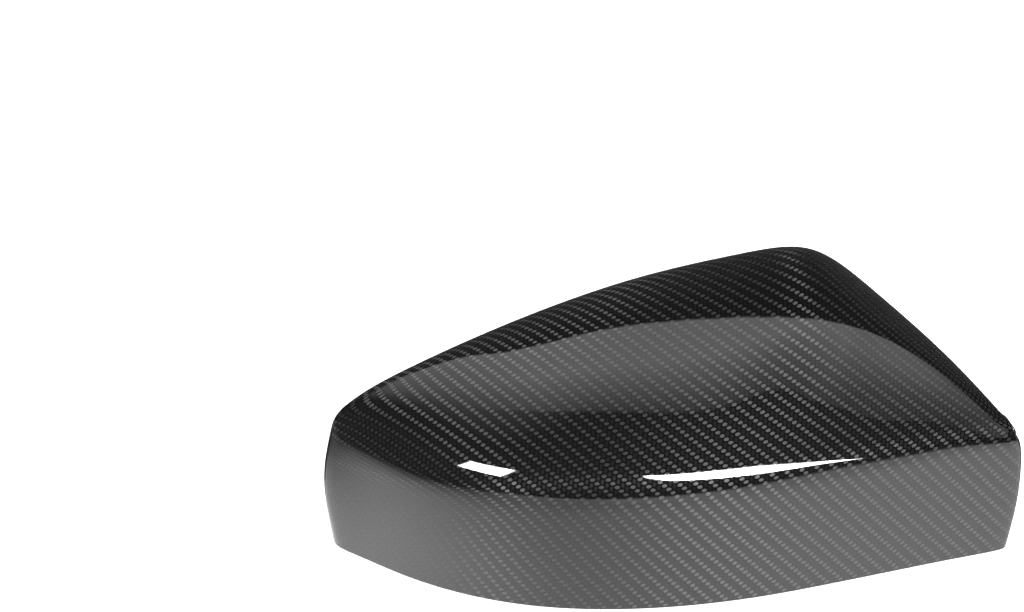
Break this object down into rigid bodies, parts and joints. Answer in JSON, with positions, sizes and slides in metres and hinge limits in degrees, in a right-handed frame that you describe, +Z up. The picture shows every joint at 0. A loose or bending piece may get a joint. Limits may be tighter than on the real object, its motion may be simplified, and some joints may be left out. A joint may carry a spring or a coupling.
{
  "type": "wing mirror cover",
  "caption": "Moulded carbon fibre shell that caps a wing mirror housing, with an upright skirt, a crease that sharpens towards the inner end and a face that rises to a crest.",
  "frame": {"origin": "under the middle of the cover's outline, on the plane of its rim", "axes": "+X along the cover from its outer end to its inner end, +Y from the near skirt to the far side, +Z up from the rim towards the crest"},
  "size_m": [0.2704, 0.1498, 0.1101],
  "materials": {
    "carbon_laminate": "glossy clear coat over a woven carbon fibre laminate"
  },
  "bodies": {
    "root": {"cover_shell": "carbon_laminate"}
  },
  "joints": []
}
